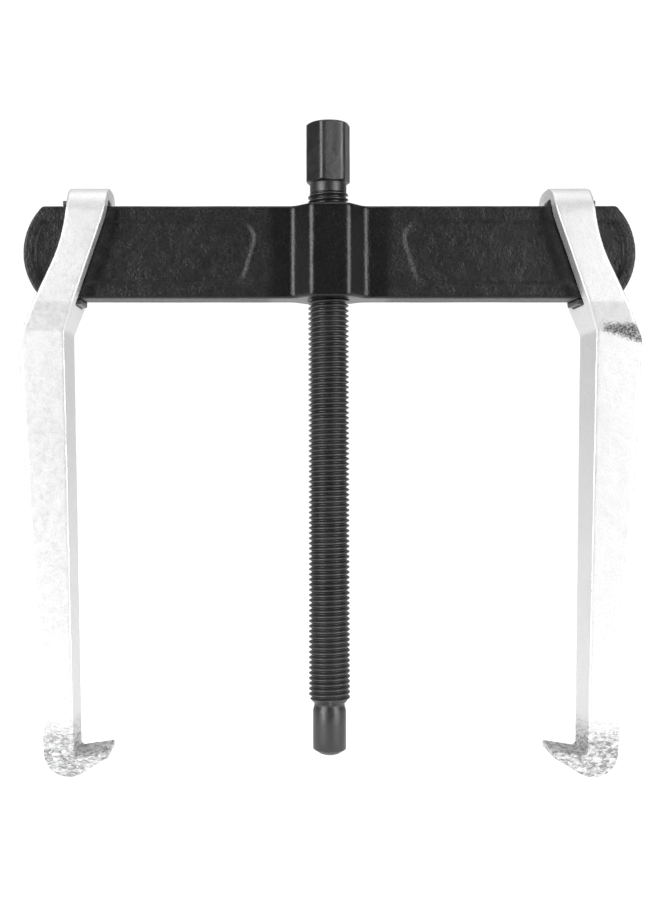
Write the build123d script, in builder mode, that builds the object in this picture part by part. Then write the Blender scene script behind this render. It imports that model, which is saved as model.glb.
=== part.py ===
"""Two-jaw sliding gear puller: crossbeam, forcing screw, pressing ball, two hooked jaws, two spring clips.

Frame: +Z up along the forcing screw, X along the crossbeam, Y through its thickness (front is -Y).
The origin is on the screw's axis, level with the lowest point of the two hooks. Millimetres.
"""
from build123d import *
import os
from math import atan, cos, pi, radians, sin, sqrt, tan

os.makedirs("parts", exist_ok=True)

# ---- crossbeam ------------------------------------------------------------------------------
beam_length = 238.0
beam_height = 36.4
beam_thickness = 15.0
beam_bottom = 182.8        # underside of the crossbeam above the foot of the hooks
beam_end_radius = 26.0     # radius of the rounded ends, seen from the front
beam_edge_round = 1.2
boss_depth = 30.0          # the central boss through its thickness, front face to back face
boss_face_width = 14.8
boss_root_width = 28.0
boss_root_round = 3.6
boss_edge_round = 3.8
panel_depth = 0.6          # the sunk panels on both sides of the boss, front and back
panel_rim_side = 6.0       # solid rim above and below a panel
panel_rim_end = 4.3        # solid rim round the beam's end
panel_inner_x = 26.5       # where a panel starts, from the screw's axis
panel_inner_slant = 7.5    # how much further out the panel starts at its lower edge
panel_upper_round = 7.0
panel_lower_round = 4.5

# ---- forcing screw --------------------------------------------------------------------------
thread_diameter = 15.9     # crest diameter of the M16 thread
thread_pitch = 2.0
thread_depth = 1.15
thread_crest_flat = 0.35
thread_above_beam = 6.1    # the thread runs on this far over the crossbeam's top
thread_bottom = 26.6
thread_clearance = 0.08    # radial, crest to the crossbeam's bore
hex_sides = 6
hex_across_flats = 16.0
hex_above_beam = 10.0      # underside of the hexagon over the crossbeam's top
hex_height = 23.8
hex_turn = -19.0           # degrees that a flat is turned from facing front
hex_chamfer_angle = 30.0   # degrees, top and bottom of the hexagon
neck_step = 1.5            # how much less than the thread's diameter the neck is
relief_step = 4.1          # and the groove below the thread
relief_length = 1.2
pilot_step = 3.1           # and the pilot nose
pilot_bottom = 8.9
tip_chamfer_length = 1.75
tip_diameter = 7.8
pilot_end_chamfer = 1.6    # the pilot nose's upper edge

# ---- pressing ball --------------------------------------------------------------------------
ball_diameter = 5.5
ball_proud = 1.85          # how far the ball stands out of the screw's tip
ball_clearance = 0.05

# ---- jaws -----------------------------------------------------------------------------------
jaw_from_end = 25.65       # centre of the eye's top, from the crossbeam's end
eye_depth = 31.0           # the eye through its thickness, front to back
eye_roof = 5.1             # metal over the crossbeam
eye_shoulder_round = 12.5  # the eye's top is an arch, seen from the side
strap_top_width = 15.9
strap_outer_bend = 65.0    # bend radius of the strap's outer edge
strap_outer_slope = 0.45   # sideways per unit downwards, below the bend
strap_inner_bend = 47.0
strap_inner_slope = 0.335
strap_bend_start = 4.4     # the outer bend starts this far below the eye's top, the inner one at it
kink_below_beam = 13.0     # the leg's inner corner below the crossbeam
kink_outer_drop = 2.6      # the outer corner lies this much lower than the inner one
kink_round = 6.0
leg_inner_offset = 3.85    # leg's inner face at the hook, out from the eye's centre
leg_outer_offset = 15.85   # leg's outer face at the height of the heel's middle
heel_radius = 9.7          # the round outside of the hook
claw_under_angle = 31.0    # degrees that the claw's underside rises towards its tip
leg_top_depth = 24.4       # the leg through its thickness, at the kink
hook_depth = 19.0          # and at the hook
claw_root_z = 8.2          # gripping face next to the leg
claw_tip_z = 10.1          # gripping face at the claw's tip
claw_length = 13.0         # from the leg's inner face to the claw's tip
claw_root_round = 1.5
jaw_edge_round = 0.6       # along the jaw's front and back edges
eye_clearance = 0.5        # between the eye and the crossbeam's front face

# ---- spring clips ---------------------------------------------------------------------------
clip_thickness = 1.9
clip_gap = 0.15            # clip to crossbeam, and clip to eye
clip_width = 7.5           # along the crossbeam
clip_offset = 6.75         # the clip's middle, out from the eye's centre
clip_front_lip = 14.0      # how far a clip's two lips reach forward over the crossbeam

# ---- worked out -----------------------------------------------------------------------------
same_place = 0.01          # two places closer than this are the same
beam_top = beam_bottom + beam_height
beam_middle = beam_bottom + beam_height / 2
beam_front = beam_thickness / 2
clip_space = clip_thickness + 2 * clip_gap
eye_top = beam_top + clip_space + eye_roof
eye_floor = beam_bottom - clip_space
eye_front_wall = beam_front + eye_clearance
eye_back_wall = beam_front + clip_space
thread_top = beam_top + thread_above_beam
crest_radius = thread_diameter / 2
root_radius = crest_radius - thread_depth
neck_radius = crest_radius - neck_step / 2
relief_radius = crest_radius - relief_step / 2
pilot_radius = crest_radius - pilot_step / 2
bore_radius = crest_radius + thread_clearance
hex_bottom = beam_top + hex_above_beam
hex_top = hex_bottom + hex_height
tip_bottom = pilot_bottom - tip_chamfer_length
ball_middle = tip_bottom - ball_proud + ball_diameter / 2
jaw_x = beam_length / 2 - jaw_from_end
leg_bottom_inner = jaw_x + leg_inner_offset
leg_bottom_outer = jaw_x + leg_outer_offset
claw_tip_x = leg_bottom_inner - claw_length
clip_inner_x = jaw_x + clip_offset - clip_width / 2


def round_end(half_length, half_height, radius):
    """Where the level edges of a bar stop and its rounded end, reaching half_length, begins."""
    return half_length - radius + sqrt(radius**2 - half_height**2)


# ---- crossbeam ------------------------------------------------------------------------------
with BuildPart() as crossbeam:
    # seen from above: a bar with the boss in its middle
    with BuildSketch(Plane.XY.offset(beam_bottom)) as plan:
        Rectangle(beam_length, beam_thickness)
        for face in (-1, 1):
            with BuildLine():
                Polyline(
                    (-boss_root_width / 2, 0),
                    (-boss_root_width / 2, face * beam_front),
                    (-boss_face_width / 2, face * boss_depth / 2),
                    (boss_face_width / 2, face * boss_depth / 2),
                    (boss_root_width / 2, face * beam_front),
                    (boss_root_width / 2, 0),
                    close=True,
                )
            make_face()
        boss_corners = plan.vertices().filter_by(lambda v: abs(abs(v.Y) - boss_depth / 2) < same_place)
        fillet(boss_corners, boss_edge_round)
        boss_roots = plan.vertices().filter_by(lambda v: abs(abs(v.X) - boss_root_width / 2) < same_place)
        fillet(boss_roots, boss_root_round)
    extrude(amount=beam_height)
    # seen from the front: the rounded ends
    with BuildSketch(Plane.XZ):
        corner = round_end(beam_length / 2, beam_height / 2, beam_end_radius)
        with BuildLine():
            for side in (-1, 1):
                ThreePointArc(
                    (side * corner, beam_top),
                    (side * beam_length / 2, beam_middle),
                    (side * corner, beam_bottom),
                )
            for level in (beam_top, beam_bottom):
                Line((-corner, level), (corner, level))
        make_face()
    extrude(amount=boss_depth, both=True, mode=Mode.INTERSECT)
    fillet(crossbeam.faces().filter_by(Axis.Z).edges(), beam_edge_round)
    # the sunk panels
    for side in (-1, 1):
        for face in (-1, 1):
            with BuildSketch(Plane.XZ.offset(face * beam_front)) as panel:
                half = beam_height / 2 - panel_rim_side
                end = beam_length / 2 - panel_rim_end
                corner = round_end(end, half, beam_end_radius - panel_rim_end)
                upper = (side * panel_inner_x, beam_middle + half)
                lower = (side * (panel_inner_x + panel_inner_slant), beam_middle - half)
                with BuildLine():
                    Polyline(
                        (side * corner, beam_middle + half),
                        upper,
                        lower,
                        (side * corner, beam_middle - half),
                    )
                    ThreePointArc(
                        (side * corner, beam_middle - half),
                        (side * end, beam_middle),
                        (side * corner, beam_middle + half),
                    )
                make_face()
                fillet(panel.vertices().sort_by_distance(upper)[0], panel_upper_round)
                fillet(panel.vertices().sort_by_distance(lower)[0], panel_lower_round)
            extrude(amount=-face * panel_depth, mode=Mode.SUBTRACT)
    with Locations((0, 0, beam_middle)):
        Hole(bore_radius)
crossbeam.part.label = "crossbeam"
export_step(crossbeam.part, "parts/crossbeam.step")


# ---- forcing screw: hexagon, neck, thread and pilot nose ------------------------------------
with BuildPart() as forcing_screw:
    with BuildSketch(Plane.XY.offset(hex_bottom)):
        RegularPolygon(hex_across_flats / 2, hex_sides, major_radius=False, rotation=hex_turn)
    extrude(amount=hex_height)
    # cones that chamfer the hexagon's corners, top and bottom
    flat_radius = hex_across_flats / 2
    corner_radius = flat_radius / cos(pi / hex_sides)
    cone_drop = (corner_radius - flat_radius) * tan(radians(hex_chamfer_angle))
    with BuildSketch(Plane.XZ):
        with BuildLine():
            Polyline(
                (0, hex_bottom),
                (flat_radius, hex_bottom),
                (corner_radius, hex_bottom + cone_drop),
                (corner_radius, hex_top - cone_drop),
                (flat_radius, hex_top),
                (0, hex_top),
                close=True,
            )
        make_face()
    revolve(axis=Axis.Z, mode=Mode.INTERSECT)
    # everything below the hexagon is turned; the thread is a stack of ridges one pitch apart
    ridges = int((thread_top - thread_bottom) / thread_pitch)
    flank = (thread_pitch - thread_crest_flat) / 2
    outline = [
        (0, tip_bottom),
        (tip_diameter / 2, tip_bottom),
        (pilot_radius, pilot_bottom),
        (pilot_radius, thread_bottom - relief_length - pilot_end_chamfer),
        (relief_radius, thread_bottom - relief_length),
        (relief_radius, thread_bottom),
        (root_radius, thread_bottom),
    ]
    for ridge in range(ridges):
        start = thread_bottom + ridge * thread_pitch
        outline += [
            (crest_radius, start + flank),
            (crest_radius, start + flank + thread_crest_flat),
            (root_radius, start + thread_pitch),
        ]
    outline += [
        (neck_radius, thread_bottom + ridges * thread_pitch),
        (neck_radius, hex_bottom),
        (0, hex_bottom),
    ]
    with BuildSketch(Plane.XZ):
        with BuildLine():
            Polyline(*outline, close=True)
        make_face()
    revolve(axis=Axis.Z)
    # the ball's seat, closed in under the ball's middle so that it can't fall out
    with Locations((0, 0, ball_middle)):
        Sphere(ball_diameter / 2 + ball_clearance, mode=Mode.SUBTRACT)
forcing_screw.part.label = "forcing_screw"
export_step(forcing_screw.part, "parts/forcing_screw.step")


# ---- pressing ball --------------------------------------------------------------------------
with BuildPart() as pressing_ball:
    with Locations((0, 0, ball_middle)):
        Sphere(ball_diameter / 2)
pressing_ball.part.label = "pressing_ball"
export_step(pressing_ball.part, "parts/pressing_ball.step")


# ---- jaws -----------------------------------------------------------------------------------
with BuildPart() as right_jaw:
    # seen from the front: strap, kinked leg and hook
    bend_z = eye_top - strap_bend_start
    top_outer = jaw_x + strap_top_width / 2
    top_inner = jaw_x - strap_top_width / 2
    outer_turn = atan(strap_outer_slope)
    inner_turn = atan(strap_inner_slope)
    kink_inner_z = beam_bottom - kink_below_beam
    kink_outer_z = kink_inner_z - kink_outer_drop
    outer_low = (
        top_outer + strap_outer_bend * (1 - cos(outer_turn)),
        bend_z - strap_outer_bend * sin(outer_turn),
    )
    inner_low = (
        top_inner + strap_inner_bend * (1 - cos(inner_turn)),
        eye_top - strap_inner_bend * sin(inner_turn),
    )
    kink_outer = (outer_low[0] + strap_outer_slope * (outer_low[1] - kink_outer_z), kink_outer_z)
    kink_inner = (inner_low[0] + strap_inner_slope * (inner_low[1] - kink_inner_z), kink_inner_z)
    # the heel is a circle that touches the ground, the leg's outer face and the claw's underside
    leg_lean = atan((kink_outer[0] - leg_bottom_outer) / (kink_outer_z - heel_radius))
    heel_middle = Vector(leg_bottom_outer - heel_radius / cos(leg_lean), heel_radius)
    under_turn = radians(claw_under_angle)
    heel_start = heel_middle + Vector(cos(leg_lean), -sin(leg_lean)) * heel_radius
    heel_end = heel_middle - Vector(sin(under_turn), cos(under_turn)) * heel_radius
    claw_root = (leg_bottom_inner, claw_root_z)
    claw_tip = (claw_tip_x, claw_tip_z)
    claw_toe = (claw_tip_x, heel_end.Y + (heel_end.X - claw_tip_x) * tan(under_turn))
    with BuildSketch(Plane.XZ) as front_view:
        with BuildLine():
            Line((top_inner, eye_top), (top_outer, eye_top))
            Line((top_outer, eye_top), (top_outer, bend_z))
            TangentArc((top_outer, bend_z), outer_low, tangent=(0, -1))
            Line(outer_low, kink_outer)
            Line(kink_outer, heel_start)
            TangentArc(heel_start, heel_end, tangent=(-sin(leg_lean), -cos(leg_lean)))
            Line(heel_end, claw_toe)
            Line(claw_toe, claw_tip)
            Line(claw_tip, claw_root)
            Line(claw_root, kink_inner)
            Line(kink_inner, inner_low)
            TangentArc((top_inner, eye_top), inner_low, tangent=(0, -1))
        make_face()
        fillet(front_view.vertices().sort_by_distance(kink_outer)[0], kink_round)
        fillet(front_view.vertices().sort_by_distance(kink_inner)[0], kink_round)
        fillet(front_view.vertices().sort_by_distance(claw_root)[0], claw_root_round)
    extrude(amount=eye_depth / 2, both=True)
    # seen from the side: full depth round the eye, then a tapering leg
    with BuildSketch(Plane.YZ) as side_view:
        with BuildLine():
            Polyline(
                (0, 0),
                (hook_depth / 2, 0),
                (leg_top_depth / 2, kink_inner_z),
                (eye_depth / 2, eye_floor),
                (eye_depth / 2, eye_top),
                (-eye_depth / 2, eye_top),
                (-eye_depth / 2, eye_floor),
                (-leg_top_depth / 2, kink_inner_z),
                (-hook_depth / 2, 0),
                close=True,
            )
        make_face()
        shoulders = side_view.vertices().group_by(Axis.Y)[-1]
        fillet(shoulders, eye_shoulder_round)
    extrude(amount=beam_length, mode=Mode.INTERSECT)
    # the eye that the crossbeam passes through
    with BuildSketch(Plane.YZ):
        eye_depth_inside = eye_front_wall + eye_back_wall
        eye_height_inside = beam_height + 2 * clip_space
        with Locations(((eye_back_wall - eye_front_wall) / 2, beam_middle)):
            Rectangle(eye_depth_inside, eye_height_inside)
    extrude(amount=beam_length, mode=Mode.SUBTRACT)
    side_edges = right_jaw.edges().filter_by(lambda e: abs(e.center().Y) > hook_depth / 2 - jaw_edge_round)
    outer_edges = side_edges.filter_by(lambda e: abs(e.center().Y - eye_back_wall) > same_place)
    fillet(outer_edges, jaw_edge_round)
right_jaw.part.label = "right_jaw"
export_step(right_jaw.part, "parts/right_jaw.step")

with BuildPart() as left_jaw:
    add(right_jaw.part.mirror(Plane.YZ))
left_jaw.part.label = "left_jaw"
export_step(left_jaw.part, "parts/left_jaw.step")


# ---- spring clips: a bent leaf in each eye, round the back of the crossbeam ------------------
with BuildPart() as right_spring_clip:
    with BuildSketch(Plane.YZ.offset(clip_inner_x)) as leaf:
        back = beam_front + clip_gap
        top = beam_top + clip_gap
        bottom = beam_bottom - clip_gap
        with BuildLine():
            Polyline(
                (beam_front - clip_front_lip, top),
                (back, top),
                (back, bottom),
                (beam_front - clip_front_lip, bottom),
                (beam_front - clip_front_lip, bottom - clip_thickness),
                (back + clip_thickness, bottom - clip_thickness),
                (back + clip_thickness, top + clip_thickness),
                (beam_front - clip_front_lip, top + clip_thickness),
                close=True,
            )
        make_face()
        outer_bends = leaf.vertices().group_by(Axis.X)[-1]
        fillet(outer_bends, clip_thickness)
    extrude(amount=clip_width)
right_spring_clip.part.label = "right_spring_clip"
export_step(right_spring_clip.part, "parts/right_spring_clip.step")

with BuildPart() as left_spring_clip:
    add(right_spring_clip.part.mirror(Plane.YZ))
left_spring_clip.part.label = "left_spring_clip"
export_step(left_spring_clip.part, "parts/left_spring_clip.step")
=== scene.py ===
"""Looks of the two-jaw gear puller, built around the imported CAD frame.

Lengths are in metres, +Z is up and the front is at -Y.
"""
import math

import bmesh
import bpy
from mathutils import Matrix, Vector, noise


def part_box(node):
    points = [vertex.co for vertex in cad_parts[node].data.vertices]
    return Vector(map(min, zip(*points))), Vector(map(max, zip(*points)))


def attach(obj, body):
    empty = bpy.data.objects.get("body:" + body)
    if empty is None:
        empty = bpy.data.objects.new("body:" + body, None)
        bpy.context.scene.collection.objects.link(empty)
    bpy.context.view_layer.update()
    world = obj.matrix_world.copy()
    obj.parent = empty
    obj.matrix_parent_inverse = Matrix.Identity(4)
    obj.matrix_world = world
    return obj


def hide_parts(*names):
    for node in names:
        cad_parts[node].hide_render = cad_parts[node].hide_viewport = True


MM = 0.001
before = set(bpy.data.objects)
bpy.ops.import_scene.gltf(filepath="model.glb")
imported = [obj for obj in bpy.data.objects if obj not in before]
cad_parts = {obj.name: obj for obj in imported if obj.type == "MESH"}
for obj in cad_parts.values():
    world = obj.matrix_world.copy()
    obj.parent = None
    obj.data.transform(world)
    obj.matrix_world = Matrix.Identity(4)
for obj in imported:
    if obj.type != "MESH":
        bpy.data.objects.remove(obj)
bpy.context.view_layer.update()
scene = bpy.context.scene

# where a finish changes along its piece
SMOOTH_PAINT_TO = 25 * MM  # the paint is smooth this far out from the screw's axis
HOOK_SKIN_TOP = 24 * MM    # the hooks' coarse skin, and the painted shade in its hollows, fade out at this height
KINK_BAND_FROM = 104 * MM  # the band of painted shade across the right jaw's kink starts this far out
KINK_BAND_TOP = 173.3 * MM
KINK_BAND_LOW = 169.5 * MM
KINK_BAND_DROP = 0.35      # how steeply its lower edge drops outwards
KINK_BAND_TEAR = 6 * MM    # how ragged its edges are
KINK_BAND_FADE = 1.6 * MM


# ---- node helpers ---------------------------------------------------------------------------
class Shader:
    """A material's node tree with short calls for the nodes that the finishes below share."""

    def __init__(self, name):
        self.material = bpy.data.materials.new(name)
        self.material.use_nodes = True
        self.tree = self.material.node_tree
        self.surface = self.tree.nodes["Principled BSDF"]
        self.place = self.tree.nodes.new("ShaderNodeTexCoord").outputs["Object"]

    def along(self, axis):
        """The object coordinate along X, Y or Z."""
        node = self.tree.nodes.new("ShaderNodeSeparateXYZ")
        self.link(self.place, node.inputs["Vector"])
        return node.outputs[axis]

    def link(self, source, socket):
        self.tree.links.new(source, socket)

    def stretched(self, scale):
        """Object coordinates, scaled along each axis."""
        node = self.tree.nodes.new("ShaderNodeMapping")
        node.inputs["Scale"].default_value = scale
        self.link(self.place, node.inputs["Vector"])
        return node.outputs["Vector"]

    def noise(self, per_metre, detail=4.0, roughness=0.55, distortion=0.0, vector=None):
        node = self.tree.nodes.new("ShaderNodeTexNoise")
        node.inputs["Scale"].default_value = per_metre
        node.inputs["Detail"].default_value = detail
        node.inputs["Roughness"].default_value = roughness
        node.inputs["Distortion"].default_value = distortion
        self.link(vector or self.place, node.inputs["Vector"])
        return node.outputs["Fac"]

    def cells(self, per_metre):
        """The distance to the nearest of many scattered points."""
        node = self.tree.nodes.new("ShaderNodeTexVoronoi")
        node.inputs["Scale"].default_value = per_metre
        self.link(self.place, node.inputs["Vector"])
        return node.outputs["Distance"]

    def ramp(self, source, stops):
        """Maps a value to greys: stops are (place, grey) pairs."""
        node = self.tree.nodes.new("ShaderNodeValToRGB")
        points = node.color_ramp.elements
        while len(points) < len(stops):
            points.new(0.5)
        for point, (at, grey) in zip(points, stops):
            point.position = at
            point.color = (grey, grey, grey, 1)
        self.link(source, node.inputs["Fac"])
        return node.outputs["Color"]

    def mixed(self, fac, a, b):
        """Blends two colours by a value. Either colour is a socket or three numbers."""
        node = self.tree.nodes.new("ShaderNodeMix")
        node.data_type = "RGBA"
        self.link(fac, node.inputs["Factor"])
        colour_inputs = [socket for socket in node.inputs if socket.type == "RGBA"]
        for socket, colour in zip(colour_inputs, (a, b)):
            if isinstance(colour, tuple):
                socket.default_value = (*colour, 1)
            else:
                self.link(colour, socket)
        return [socket for socket in node.outputs if socket.type == "RGBA"][0]

    def math(self, operation, a, b=0.0):
        """Joins two values. a is a socket, and b is a socket or a number."""
        node = self.tree.nodes.new("ShaderNodeMath")
        node.operation = operation
        self.link(a, node.inputs[0])
        if isinstance(b, (int, float)):
            node.inputs[1].default_value = b
        else:
            self.link(b, node.inputs[1])
        return node.outputs[0]

    def edges(self, low, high):
        """1 on outward edges of the mesh, 0 elsewhere."""
        node = self.tree.nodes.new("ShaderNodeNewGeometry")
        return self.ramp(node.outputs["Pointiness"], [(low, 0.0), (high, 1.0)])

    def bump(self, height, strength, distance, under=None):
        node = self.tree.nodes.new("ShaderNodeBump")
        node.inputs["Strength"].default_value = strength
        node.inputs["Distance"].default_value = distance
        self.link(height, node.inputs["Height"])
        if under is not None:
            self.link(under, node.inputs["Normal"])
        return node.outputs["Normal"]

    def set(self, **values):
        """Constants go on the shader's own sockets; sockets are linked."""
        for name, value in values.items():
            socket = self.surface.inputs[name.replace("_", " ")]
            if isinstance(value, bpy.types.NodeSocket):
                self.link(value, socket)
            else:
                socket.default_value = value
        return self.material


# ---- finishes -------------------------------------------------------------------------------
def forged_black_paint():
    s = Shader("forged black paint")
    leather = s.noise(800, detail=3, roughness=0.6, distortion=0.5)
    grain = s.noise(2600, detail=2, roughness=0.6)
    pits = s.ramp(s.cells(1000), [(0.0, 0.0), (0.4, 1.0)])
    broad = s.noise(60, detail=2)
    patches = s.ramp(s.noise(170, detail=2), [(0.4, 0.25), (0.62, 1.0)])
    # the boss and the flats beside it are smoother than the panels and the ends
    from_middle = s.math("DIVIDE", s.math("ABSOLUTE", s.along("X")), SMOOTH_PAINT_TO)
    outside = s.ramp(from_middle, [(0.85, 0.5), (1.0, 1.0)])
    leather_skin = s.math("MULTIPLY", s.math("MULTIPLY", leather, patches), outside)
    normal = s.bump(broad, strength=0.25, distance=0.5 * MM)
    normal = s.bump(leather_skin, strength=1.0, distance=0.3 * MM, under=normal)
    normal = s.bump(s.math("MULTIPLY", pits, outside), strength=0.5, distance=0.1 * MM, under=normal)
    normal = s.bump(grain, strength=0.5, distance=0.06 * MM, under=normal)
    tone = s.mixed(s.ramp(broad, [(0.35, 0.0), (0.7, 1.0)]), (0.002, 0.002, 0.0022), (0.004, 0.004, 0.0042))
    worn = s.math("MULTIPLY", s.edges(0.555, 0.63), leather)
    return s.set(
        Base_Color=s.mixed(worn, tone, (0.06, 0.06, 0.06)),
        Roughness=s.mixed(outside, (0.23, 0.23, 0.23), s.ramp(leather, [(0.3, 0.37), (0.7, 0.52)])),
        Specular_IOR_Level=0.52,
        Normal=normal,
    )


def black_oxide():
    s = Shader("black oxide steel")
    turned = s.noise(900, detail=2, vector=s.stretched((0.25, 0.25, 3.0)))
    speck = s.noise(2400, detail=3, roughness=0.65)
    broad = s.noise(120, detail=3)
    dents = s.cells(420)
    normal = s.bump(turned, strength=0.4, distance=0.03 * MM)
    normal = s.bump(dents, strength=0.3, distance=0.12 * MM, under=normal)
    normal = s.bump(speck, strength=0.6, distance=0.05 * MM, under=normal)
    tone = s.mixed(s.ramp(broad, [(0.35, 0.0), (0.7, 1.0)]), (0.01, 0.01, 0.0102), (0.02, 0.02, 0.0205))
    worn = s.math("MULTIPLY", s.edges(0.53, 0.66), s.ramp(speck, [(0.4, 0.3), (0.6, 1.0)]))
    return s.set(
        Base_Color=s.mixed(worn, tone, (0.13, 0.13, 0.13)),
        Roughness=s.ramp(broad, [(0.3, 0.32), (0.7, 0.46)]),
        Specular_IOR_Level=0.75,
        Normal=normal,
    )


def kink_shade_band(s):
    """1 inside the band of painted shade across a jaw's kink, which widens outwards as its lower edge drops.
    """
    outwards = s.math("SUBTRACT", s.along("X"), KINK_BAND_FROM)
    drop = s.math("MULTIPLY", outwards, -KINK_BAND_DROP)
    above = s.math("SUBTRACT", s.along("Z"), KINK_BAND_LOW)
    above = s.math("SUBTRACT", above, drop)
    below = s.math("SUBTRACT", s.math("MULTIPLY", s.along("Z"), -1.0), -KINK_BAND_TOP)
    inside = s.math("MINIMUM", s.math("MINIMUM", above, below), outwards)
    ragged = s.math("SUBTRACT", s.noise(1500, detail=3, roughness=0.7), 0.5)
    inside = s.math("ADD", inside, s.math("MULTIPLY", ragged, KINK_BAND_TEAR))
    return s.ramp(s.math("DIVIDE", inside, KINK_BAND_FADE), [(0.0, 0.0), (1.0, 1.0)])


def bright_zinc(name, painted_kink_shade):
    """Zinc over a forged skin, which is coarser round the hook, with painted shade in the hook's hollows and
    a band of painted shade across one jaw's kink.
    """
    s = Shader(name)
    skin = s.noise(500, detail=4, roughness=0.6, distortion=0.3)
    grain = s.noise(1900, detail=3, roughness=0.65)
    broad = s.noise(45, detail=2)
    # the hook's ridges run with the claw
    hook = s.ramp(s.math("DIVIDE", s.along("Z"), HOOK_SKIN_TOP), [(0.55, 1.0), (0.95, 0.0)])
    ridges = s.noise(560, detail=3, roughness=0.65, distortion=0.9, vector=s.stretched((0.8, 0.5, 1.7)))
    ridges = s.ramp(ridges, [(0.38, 0.0), (0.6, 1.0)])
    normal = s.bump(broad, strength=0.3, distance=0.6 * MM)
    normal = s.bump(skin, strength=0.4, distance=0.12 * MM, under=normal)
    normal = s.bump(s.math("MULTIPLY", ridges, hook), strength=0.9, distance=0.42 * MM, under=normal)
    normal = s.bump(grain, strength=0.35, distance=0.05 * MM, under=normal)
    speckle = s.ramp(grain, [(0.36, 0.0), (0.48, 1.0)])
    colour = s.mixed(speckle, (0.69, 0.69, 0.695), (0.81, 0.81, 0.815))
    colour = s.mixed(s.ramp(broad, [(0.3, 0.0), (0.7, 0.35)]), colour, (0.85, 0.85, 0.855))
    worn = s.math("MULTIPLY", s.edges(0.56, 0.64), s.ramp(grain, [(0.3, 0.9), (0.7, 0.3)]))
    colour = s.mixed(worn, colour, (0.5, 0.5, 0.5))
    # painted shade: the hollows between the hook's ridges are darkened
    hollows = s.math("MULTIPLY", hook, s.ramp(ridges, [(0.0, 0.9), (0.75, 0.0)]))
    colour = s.mixed(hollows, colour, (0.26, 0.26, 0.26))
    # painted shade: a dark mottled band across the kink, where its facet faces down
    if painted_kink_shade:
        flecks = s.ramp(s.noise(1300, detail=3, roughness=0.7), [(0.42, 0.97), (0.66, 0.4)])
        colour = s.mixed(s.math("MULTIPLY", kink_shade_band(s), flecks), colour, (0.07, 0.07, 0.07))
    return s.set(
        Base_Color=colour,
        Metallic=1.0,
        Roughness=s.ramp(skin, [(0.3, 0.5), (0.7, 0.62)]),
        Normal=normal,
    )


def polished_ball():
    s = Shader("polished ball steel")
    haze = s.noise(1200, detail=2)
    return s.set(
        Base_Color=s.mixed(haze, (0.78, 0.78, 0.785), (0.9, 0.9, 0.905)),
        Metallic=1.0,
        Roughness=s.ramp(haze, [(0.3, 0.1), (0.7, 0.18)]),
        Normal=s.bump(haze, strength=0.1, distance=0.01 * MM),
    )


def blued_spring():
    s = Shader("blued spring steel")
    drawn = s.noise(1500, detail=2, vector=s.stretched((0.15, 1.0, 1.0)))
    normal = s.bump(drawn, strength=0.3, distance=0.02 * MM)
    tone = s.mixed(drawn, (0.008, 0.008, 0.0085), (0.02, 0.02, 0.0205))
    return s.set(
        Base_Color=s.mixed(s.edges(0.52, 0.62), tone, (0.06, 0.06, 0.06)),
        Metallic=0.3,
        Roughness=s.ramp(drawn, [(0.3, 0.3), (0.7, 0.42)]),
        Normal=normal,
    )


# ---- mesh helpers ---------------------------------------------------------------------------
WAVE_GAIN = 1.6            # spreads the noise over the waves' whole depth
JOIN_WITHIN = 0.001 * MM


def add_object(name, mesh, material, body, slot, *nodes):
    """A visible piece that rides a body and stands in for the CAD nodes named."""
    piece = bpy.data.objects.new(name, mesh)
    scene.collection.objects.link(piece)
    mesh.materials.clear()
    mesh.materials.append(material)
    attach(piece, body)
    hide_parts(*nodes)
    return piece


def applied(piece, kind, **settings):
    """Adds a modifier to a piece and applies it to its mesh."""
    modifier = piece.modifiers.new(kind.lower(), kind)
    for key, value in settings.items():
        setattr(modifier, key, value)
    bpy.context.view_layer.update()
    made = bpy.data.meshes.new_from_object(piece.evaluated_get(bpy.context.evaluated_depsgraph_get()))
    piece.modifiers.clear()
    piece.data = made


def forged_skin(piece, voxel, smoothing, waves):
    """Turns a piece's CAD copy into an even quad mesh with rounded edges, then sinks it by soft waves.

    waves are (size, depth, seed): how far apart the hollows are, how deep they go, and their pattern.
    """
    finish = piece.data.materials[0]
    applied(piece, "REMESH", mode="VOXEL", voxel_size=voxel, adaptivity=0.0, use_smooth_shade=True)
    applied(piece, "SMOOTH", factor=0.5, iterations=smoothing)
    mesh = piece.data
    mesh.materials.clear()
    mesh.materials.append(finish)
    normals = [v.normal.copy() for v in mesh.vertices]
    for vertex, normal in zip(mesh.vertices, normals):
        sunk = 0.0
        for size, depth, seed in waves:
            place = vertex.co / size + Vector((seed, seed, seed))
            swing = max(-1.0, min(1.0, noise.noise(place) * WAVE_GAIN))
            sunk += depth * (0.5 + 0.5 * swing)
        vertex.co -= normal * sunk
    mesh.polygons.foreach_set("use_smooth", [True] * len(mesh.polygons))
    mesh.update()


def node_copy(node):
    """A copy of a CAD node's mesh with its split edges joined."""
    bm = bmesh.new()
    bm.from_mesh(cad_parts[node].data)
    bmesh.ops.remove_doubles(bm, verts=bm.verts, dist=JOIN_WITHIN)
    mesh = bpy.data.meshes.new(node)
    bm.to_mesh(mesh)
    bm.free()
    return mesh


# ---- crossbeam ------------------------------------------------------------------------------
BEAM_VOXEL = 0.55 * MM
BEAM_WAVES = [(14 * MM, 0.07 * MM, 3.0), (3.2 * MM, 0.03 * MM, 8.0)]

paint = forged_black_paint()
beam = add_object("crossbeam_forging", node_copy("crossbeam"), paint, "crossbeam", "beam_paint", "crossbeam")
forged_skin(beam, BEAM_VOXEL, 2, BEAM_WAVES)

# ---- jaws -----------------------------------------------------------------------------------
JAW_VOXEL = 0.5 * MM


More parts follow.
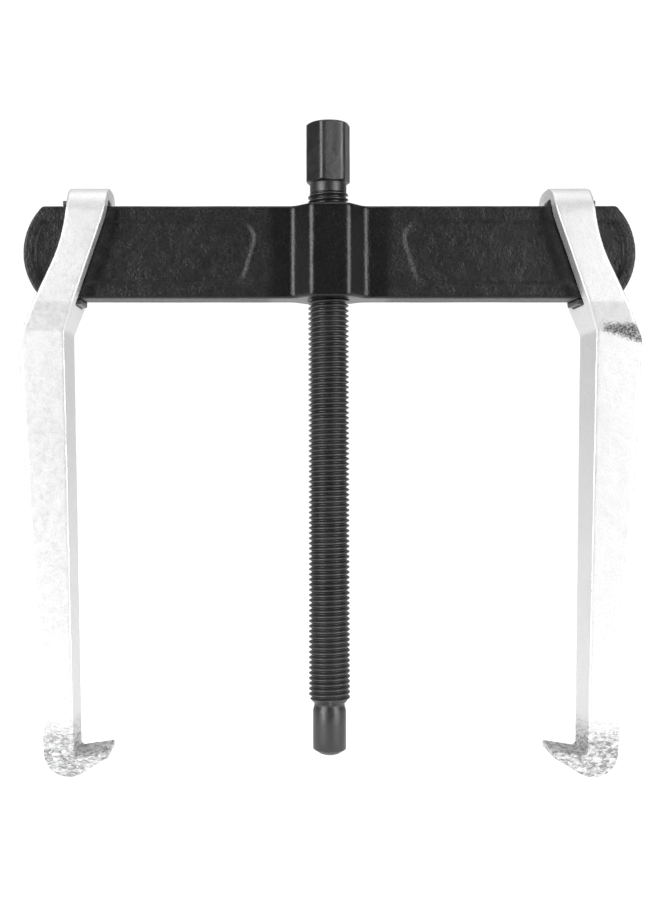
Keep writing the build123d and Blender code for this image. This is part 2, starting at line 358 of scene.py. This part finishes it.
def forged_jaw(side, seed, painted_kink_shade):
    node = f"{side}_jaw"
    zinc = bright_zinc(f"bright zinc {side}", painted_kink_shade)
    jaw = add_object(f"{node}_forging", node_copy(node), zinc, node, "jaw_plating", node)
    forged_skin(jaw, JAW_VOXEL, 3, [(16 * MM, 0.1 * MM, seed), (4 * MM, 0.04 * MM, seed + 5)])


forged_jaw("left", seed=11.0, painted_kink_shade=False)
forged_jaw("right", seed=23.0, painted_kink_shade=True)

# ---- forcing screw --------------------------------------------------------------------------
PITCH = 2.0 * MM
CREST = 7.95 * MM          # CREST to TIP are radii
ROOT = 6.8 * MM
NECK = 7.2 * MM
RELIEF = 5.9 * MM
PILOT = 6.4 * MM
SEAT = 2.62 * MM           # the ball's seat, sunk in the tip
TIP = 3.7 * MM             # the tip's flat face
TIP_LOW = 7.15 * MM
NOSE_LOW = 8.9 * MM
THREAD_LOW = 26.6 * MM
THREAD_HIGH = 225.3 * MM
GROOVE_LOW = THREAD_LOW - 1.2 * MM
HEX_FLAT = 8.0 * MM        # half across the flats
HEX_LOW = 229.2 * MM
HEX_HIGH = 253.0 * MM
HEX_TURN = math.radians(-19.0)
HEX_CORNER = 0.42 * MM     # how much a rounded corner lies inside the sharp one
HEX_SOFTNESS = 0.12 * MM
HEX_END_DROP = 0.3 * MM    # how far inside the flats the hexagon's end faces stop
HEX_DISH = 0.05 * MM       # its top is this hollow
HEX_UNEVEN = 0.09 * MM     # how deep the hollows of its forged faces go
HEX_UNEVEN_SIZE = 2.6 * MM
CHAMFER_SLOPE = math.tan(math.radians(60.0))
CHAMFER_SOFTNESS = 0.1 * MM
START_STEP = 0.3 * MM      # the thread starts this much over the groove
RUN_OUT_STEP = 0.4 * MM    # and ends this much over its own root
AROUND = 96                # columns round the screw; the hexagon's corners fall on columns
PROFILE = (-0.11, -0.07, 0.07, 0.11, 0.41, 0.46, 0.54, 0.59)   # lines across a pitch: crest, then root
CREST_SHARE = 0.09         # half the crest's and half the root's width, as shares of the pitch
ROOT_SHARE = 0.06
SQUEEZE = 0.8 * MM         # the thread's lines gather within this length at its two ends


def soft_least(a, b, softness):
    """The smaller of two lengths, with the corner between them rounded."""
    gap = (a - b) / softness
    return min(a, b) - softness * math.log1p(math.exp(-abs(gap)))


def hexagon_radius(angle, level):
    """The hexagon's outline at a level: flats, rounded corners, and a cone at each end."""
    sixth = math.pi / 3
    off = (angle - HEX_TURN + sixth / 2) % sixth - sixth / 2
    corner = HEX_FLAT / math.cos(sixth / 2) - HEX_CORNER
    radius = soft_least(HEX_FLAT / math.cos(off), corner, HEX_SOFTNESS)
    end = min(level - HEX_LOW, HEX_HIGH - level)
    return soft_least(radius, HEX_FLAT - HEX_END_DROP + end * CHAMFER_SLOPE, CHAMFER_SOFTNESS)


def thread_radius(phase):
    """The thread's section: phase 0 is the middle of a crest and 0.5 the middle of a root."""
    away = abs(phase - round(phase))
    share = (away - CREST_SHARE) / (0.5 - CREST_SHARE - ROOT_SHARE)
    return CREST + (ROOT - CREST) * max(0.0, min(1.0, share))


def squeezed(level):
    """Keeps the helix's lines between the thread's two ends without two of them meeting."""
    if level < THREAD_LOW + SQUEEZE:
        return THREAD_LOW + SQUEEZE * math.exp((level - THREAD_LOW - SQUEEZE) / SQUEEZE)
    if level > THREAD_HIGH - SQUEEZE:
        return THREAD_HIGH - SQUEEZE * math.exp((THREAD_HIGH - SQUEEZE - level) / SQUEEZE)
    return level


def column_angle(k):
    return HEX_TURN + 2 * math.pi * k / AROUND


def screw_ring(bm, level, radius_at):
    """A ring of vertices. radius_at is its radius, or a function that gives it at an angle."""
    ring = []
    for k in range(AROUND):
        angle = column_angle(k)
        radius = radius_at(angle) if callable(radius_at) else radius_at
        ring.append(bm.verts.new((radius * math.cos(angle), radius * math.sin(angle), level)))
    return ring


def bridge(bm, lower, upper):
    for k in range(AROUND):
        after = (k + 1) % AROUND
        bm.faces.new((lower[k], lower[after], upper[after], upper[k]))


def screw_stack(bm, sections, last):
    """Adds rings one over the other. sections are (level, radius) pairs from the bottom up."""
    for level, radius_at in sections:
        ring = screw_ring(bm, level, radius_at)
        bridge(bm, last, ring)
        last = ring
    return last


def close_ring(bm, ring, level, upwards):
    centre = bm.verts.new((0, 0, level))
    for k in range(AROUND):
        after = (k + 1) % AROUND
        corners = (ring[k], ring[after], centre) if upwards else (ring[after], ring[k], centre)
        bm.faces.new(corners)


def screw_thread(bm, below):
    """A right-hand helix of quads over the ring below. Returns its closing ring on top."""
    lines = len(PROFILE)
    turns = int((THREAD_HIGH - THREAD_LOW) / PITCH) + 2
    first_level = THREAD_LOW - PITCH
    points = {}

    def point(n, j):
        """The vertex at column n, counted on and on round the helix, and line j of its pitch."""
        if j == lines:
            n, j = n + AROUND, 0
        if (n, j) not in points:
            level = squeezed(first_level + PITCH * (n / AROUND + PROFILE[j]))
            phase = (level - first_level) / PITCH - n / AROUND
            start_cone = RELIEF + START_STEP + (level - THREAD_LOW)
            run_out = ROOT + RUN_OUT_STEP + (THREAD_HIGH - level)
            radius = min(thread_radius(phase), start_cone, run_out)
            angle = column_angle(n)
            points[n, j] = bm.verts.new((radius * math.cos(angle), radius * math.sin(angle), level))
        return points[n, j]

    end = AROUND * turns
    for n in range(end):
        for j in range(lines):
            bm.faces.new((point(n, j), point(n + 1, j), point(n + 1, j + 1), point(n, j + 1)))
    # the ring below meets the first line; one many-sided face takes up the step in it
    for k in range(AROUND - 1):
        bm.faces.new((below[k], below[k + 1], point(k + 1, 0), point(k, 0)))
    step = [point(0, j) for j in range(lines + 1)]
    bm.faces.new((below[-1], below[0], *step, point(AROUND - 1, 0)))
    above = screw_ring(bm, THREAD_HIGH + 0.02 * MM, ROOT + RUN_OUT_STEP)
    for k in range(1, AROUND):
        after = (k + 1) % AROUND
        bm.faces.new((point(end + k, 0), point(end + k + 1, 0), above[after], above[k]))
    step = [point(end, j) for j in range(lines, 0, -1)]
    bm.faces.new((point(end, 0), point(end + 1, 0), above[1], above[0], *step))
    return above


def tip_and_nose(bm):
    """The screw from the ball's seat up to the groove below the thread. Returns its top ring."""
    seat = screw_ring(bm, TIP_LOW + 0.9 * MM, SEAT)
    close_ring(bm, seat, TIP_LOW + 2.0 * MM, upwards=False)
    sections = [
        (TIP_LOW + 0.05 * MM, SEAT + 0.1 * MM),
        (TIP_LOW, SEAT + 0.23 * MM),
        (TIP_LOW, TIP),
        (TIP_LOW + 0.05 * MM, TIP + 0.18 * MM),
        (TIP_LOW + 0.16 * MM, TIP + 0.32 * MM),
        (NOSE_LOW - 0.2 * MM, PILOT - 0.2 * MM),
        (NOSE_LOW, PILOT - 0.06 * MM),
        (NOSE_LOW + 0.25 * MM, PILOT),
        (NOSE_LOW + 4.5 * MM, PILOT),
        (NOSE_LOW + 9.0 * MM, PILOT),
        (GROOVE_LOW - 1.75 * MM, PILOT),
        (GROOVE_LOW - 1.5 * MM, PILOT - 0.08 * MM),
        (GROOVE_LOW - 0.12 * MM, RELIEF + 0.06 * MM),
        (GROOVE_LOW, RELIEF),
        (THREAD_LOW - 0.3 * MM, RELIEF),
        (THREAD_LOW - 0.05 * MM, RELIEF + 0.1 * MM),
    ]
    return screw_stack(bm, sections, seat)


def hexagon_levels():
    """Levels up the hexagon, close together where its two ends are rounded."""
    from_end = [e * MM for e in (0.0, 0.1, 0.22, 0.36, 0.5, 0.66, 0.84, 1.05, 1.4)]
    plain = HEX_HIGH - HEX_LOW - 2 * from_end[-1]
    between = [HEX_LOW + from_end[-1] + plain * step / 12 for step in range(1, 12)]
    return [HEX_LOW + e for e in from_end] + between + [HEX_HIGH - e for e in reversed(from_end)]


def neck_and_hexagon(bm, above):
    neck = [
        (THREAD_HIGH + 0.5 * MM, NECK - 0.06 * MM),
        (THREAD_HIGH + 0.8 * MM, NECK),
        (HEX_LOW - 0.5 * MM, NECK),
        (HEX_LOW - 0.15 * MM, NECK + 0.12 * MM),
        (HEX_LOW, NECK + 0.3 * MM),
    ]
    hexagon = [(z, lambda angle, z=z: hexagon_radius(angle, z)) for z in hexagon_levels()]
    top = [(HEX_HIGH, 7.3 * MM), (HEX_HIGH - 0.03 * MM, 5.0 * MM), (HEX_HIGH - HEX_DISH, 2.4 * MM)]
    upper = screw_stack(bm, neck + hexagon + top, above)
    close_ring(bm, upper, HEX_HIGH - HEX_DISH, upwards=True)
    for vertex in bm.verts:
        if HEX_LOW < vertex.co.z:
            outward = Vector((vertex.co.x, vertex.co.y, 0)).normalized()
            hollow = 0.5 + 0.5 * noise.noise(vertex.co / HEX_UNEVEN_SIZE)
            vertex.co -= outward * hollow * HEX_UNEVEN


def screw_mesh():
    bm = bmesh.new()
    neck_and_hexagon(bm, screw_thread(bm, tip_and_nose(bm)))
    bmesh.ops.recalc_face_normals(bm, faces=bm.faces)
    mesh = bpy.data.meshes.new("forcing_screw_turned")
    bm.to_mesh(mesh)
    bm.free()
    mesh.polygons.foreach_set("use_smooth", [True] * len(mesh.polygons))
    mesh.set_sharp_from_angle(angle=math.radians(42))
    return mesh


oxide = black_oxide()
add_object("forcing_screw_turned", screw_mesh(), oxide, "screw", "blackened_steel", "forcing_screw")

# ---- pressing ball: the CAD node itself, polished --------------------------------------------
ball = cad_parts["pressing_ball"]
ball.data.materials.clear()
ball.data.materials.append(polished_ball())


# ---- spring clips ---------------------------------------------------------------------------
CLIP_THICKNESS = 1.9 * MM
CLIP_INNER_BEND = 0.4 * MM
CLIP_OUTER_BEND = CLIP_THICKNESS
CLIP_EDGE_ROUND = 0.28 * MM
BEND_STEPS = 8


def quarter_bend(centre_y, centre_z, radius, start, turn):
    """Points (y, z) on a quarter circle, from the angle start in degrees by turn."""
    points = []
    for step in range(BEND_STEPS + 1):
        angle = math.radians(start + turn * step / BEND_STEPS)
        points.append((centre_y + radius * math.cos(angle), centre_z + radius * math.sin(angle)))
    return points


def clip_mesh(node):
    """A leaf bent into a C round the back of the crossbeam."""
    low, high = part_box(node)
    inset = CLIP_THICKNESS + CLIP_INNER_BEND
    inner_y = high.y - inset
    outer_y = high.y - CLIP_OUTER_BEND
    outline = [(low.y, low.z), (low.y, low.z + CLIP_THICKNESS)]
    outline += quarter_bend(inner_y, low.z + inset, CLIP_INNER_BEND, -90.0, 90.0)
    outline += quarter_bend(inner_y, high.z - inset, CLIP_INNER_BEND, 0.0, 90.0)
    outline += [(low.y, high.z - CLIP_THICKNESS), (low.y, high.z)]
    outline += quarter_bend(outer_y, high.z - CLIP_OUTER_BEND, CLIP_OUTER_BEND, 90.0, -90.0)
    outline += quarter_bend(outer_y, low.z + CLIP_OUTER_BEND, CLIP_OUTER_BEND, 0.0, -90.0)
    bm = bmesh.new()
    near = [bm.verts.new((low.x, y, z)) for y, z in outline]
    face = bm.faces.new(near)
    made = bmesh.ops.extrude_face_region(bm, geom=[face])
    moved = [g for g in made["geom"] if isinstance(g, bmesh.types.BMVert)]
    bmesh.ops.translate(bm, verts=moved, vec=(high.x - low.x, 0, 0))
    bmesh.ops.recalc_face_normals(bm, faces=bm.faces)
    mesh = bpy.data.meshes.new(node)
    bm.to_mesh(mesh)
    bm.free()
    return mesh


def spring_clip(side, spring):
    node = f"{side}_spring_clip"
    clip = add_object(f"{node}_leaf", clip_mesh(node), spring, f"{side}_jaw", "spring_steel", node)
    settings = {"segments": 3, "limit_method": "ANGLE", "angle_limit": math.radians(50)}
    applied(clip, "BEVEL", width=CLIP_EDGE_ROUND, **settings)
    clip.data.polygons.foreach_set("use_smooth", [True] * len(clip.data.polygons))
    clip.data.set_sharp_from_angle(angle=math.radians(40))


blue = blued_spring()
spring_clip("left", blue)
spring_clip("right", blue)

# ---- floor, light and camera ----------------------------------------------------------------
FLOOR_SIZE = 10.0
FLOOR_FRONT = 0.22         # how far the floor reaches in front of the object
FLOOR_GLOW = 0.98
ROOM_FRONT = 0.04          # the room's brightness in front of the object and behind it
ROOM_BACK = 0.6
BACKING = 1.05             # the brightness of the plain backing that the camera sees
SOFTBOX_SIDE = 0.95        # where the two side softboxes stand
SOFTBOX_FRONT = 0.85
SOFTBOX_HEIGHT = 0.35
SOFTBOX_TARGET = Vector((0.0, 0.0, 0.14))
CAMERA_PLACE = (-0.0251, -0.4713, 0.1251)
CAMERA_YAW = -0.0020       # radians
CAMERA_PITCH = 0.0467
CAMERA_LENS = 48.09
CAMERA_SHIFT = (0.0752, -0.0652)


def white_floor():
    bpy.ops.mesh.primitive_plane_add(size=FLOOR_SIZE, location=(0, FLOOR_SIZE / 2 - FLOOR_FRONT, 0))
    floor = bpy.context.object
    floor.name = "studio_floor"
    s = Shader("white studio floor")
    s.set(
        Base_Color=s.mixed(s.noise(6.0, detail=2), (0.3, 0.3, 0.3), (0.32, 0.32, 0.32)),
        Roughness=0.9,
        Specular_IOR_Level=0.1,
        Emission_Color=(1, 1, 1, 1),
        Emission_Strength=FLOOR_GLOW,
    )
    floor.data.materials.append(s.material)


def white_room():
    """A plain white backing, and for light and reflections a room that is dark in front and bright behind."""
    world = bpy.data.worlds.new("white studio")
    scene.world = world
    world.use_nodes = True
    nodes = world.node_tree.nodes
    links = world.node_tree.links
    room = nodes["Background"]
    backing = nodes.new("ShaderNodeBackground")
    backing.inputs["Strength"].default_value = BACKING
    for shader in (room, backing):
        shader.inputs["Color"].default_value = (1, 1, 1, 1)
    direction = nodes.new("ShaderNodeSeparateXYZ")
    links.new(nodes.new("ShaderNodeTexCoord").outputs["Generated"], direction.inputs["Vector"])
    depth = nodes.new("ShaderNodeMapRange")
    depth.interpolation_type = "SMOOTHERSTEP"
    depth.inputs["From Min"].default_value = -0.1
    depth.inputs["From Max"].default_value = 1.0
    depth.inputs["To Min"].default_value = ROOM_FRONT
    depth.inputs["To Max"].default_value = ROOM_BACK
    links.new(direction.outputs["Y"], depth.inputs["Value"])
    links.new(depth.outputs["Result"], room.inputs["Strength"])
    either = nodes.new("ShaderNodeMixShader")
    links.new(nodes.new("ShaderNodeLightPath").outputs["Is Camera Ray"], either.inputs["Fac"])
    links.new(room.outputs["Background"], either.inputs[1])
    links.new(backing.outputs["Background"], either.inputs[2])
    links.new(either.outputs["Shader"], nodes["World Output"].inputs["Surface"])


def softbox(name, place, width, height, power):
    light = bpy.data.lights.new(name, "AREA")
    light.shape = "RECTANGLE"
    light.size = width
    light.size_y = height
    light.energy = power
    box = bpy.data.objects.new(name, light)
    scene.collection.objects.link(box)
    box.location = place
    box.rotation_euler = (SOFTBOX_TARGET - Vector(place)).to_track_quat("-Z", "Y").to_euler()
    box.visible_camera = False


def front_camera():
    data = bpy.data.cameras.new("camera")
    data.sensor_width = 36.0
    data.lens = CAMERA_LENS
    data.shift_x, data.shift_y = CAMERA_SHIFT
    data.clip_start = 0.01
    data.clip_end = 50.0
    camera = bpy.data.objects.new("camera", data)
    scene.collection.objects.link(camera)
    camera.location = CAMERA_PLACE
    level = math.cos(CAMERA_PITCH)
    ahead = Vector((math.sin(CAMERA_YAW) * level, math.cos(CAMERA_YAW) * level, math.sin(CAMERA_PITCH)))
    camera.rotation_euler = ahead.to_track_quat("-Z", "Y").to_euler()
    scene.camera = camera


white_floor()
white_room()
softbox("left softbox", (-SOFTBOX_SIDE, -SOFTBOX_FRONT, SOFTBOX_HEIGHT), width=0.7, height=1.0, power=15.4)
softbox("right softbox", (SOFTBOX_SIDE, -SOFTBOX_FRONT, SOFTBOX_HEIGHT), width=0.7, height=1.0, power=13.1)
softbox("top softbox", (0.0, -0.1, 1.3), width=1.2, height=0.9, power=6.5)
front_camera()
scene.view_settings.view_transform = "Standard"
scene.view_settings.look = "None"

bpy.context.view_layer.update()
